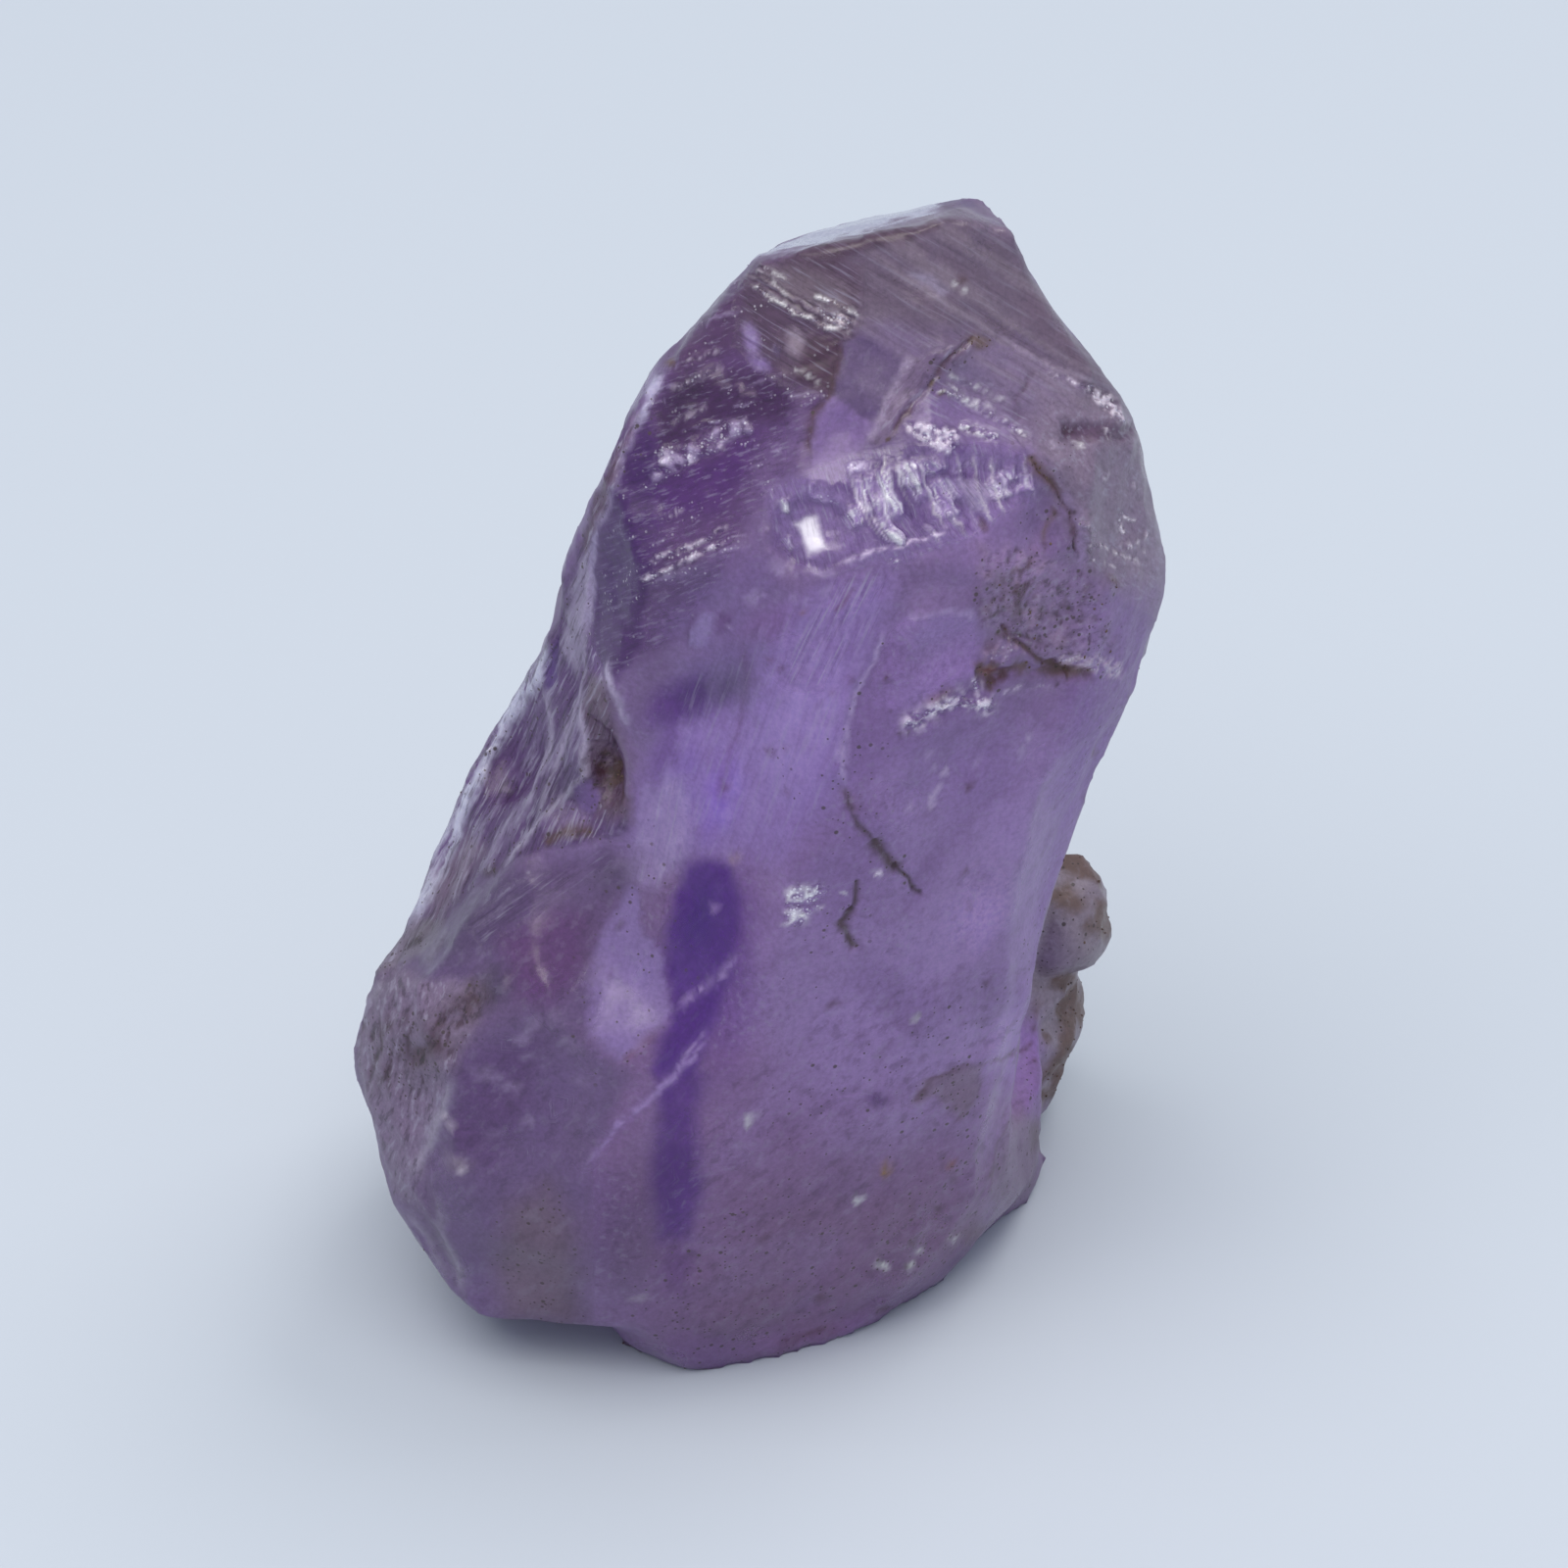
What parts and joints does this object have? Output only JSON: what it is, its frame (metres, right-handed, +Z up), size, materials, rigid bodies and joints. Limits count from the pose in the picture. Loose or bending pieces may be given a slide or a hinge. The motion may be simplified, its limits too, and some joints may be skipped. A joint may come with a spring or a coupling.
{
  "type": "rough ametrine",
  "caption": "Rough piece of violet and smoky quartz, broken on all sides, with shell-like fracture faces, a band of small crescents and brown dirt in its cracks, standing on a flat face.",
  "frame": {"origin": "middle of the flat fracture face that the stone stands on", "axes": "+Z up towards the tip, -Y towards the side with the band of crescents, +X to the right of that side"},
  "size_m": [0.0211, 0.0171, 0.0336],
  "materials": {
    "violet_quartz": "clear to cloudy violet quartz with dull broken faces and brown dirt in the cracks"
  },
  "bodies": {
    "root": {"ametrine_stone": "violet_quartz"}
  },
  "joints": []
}
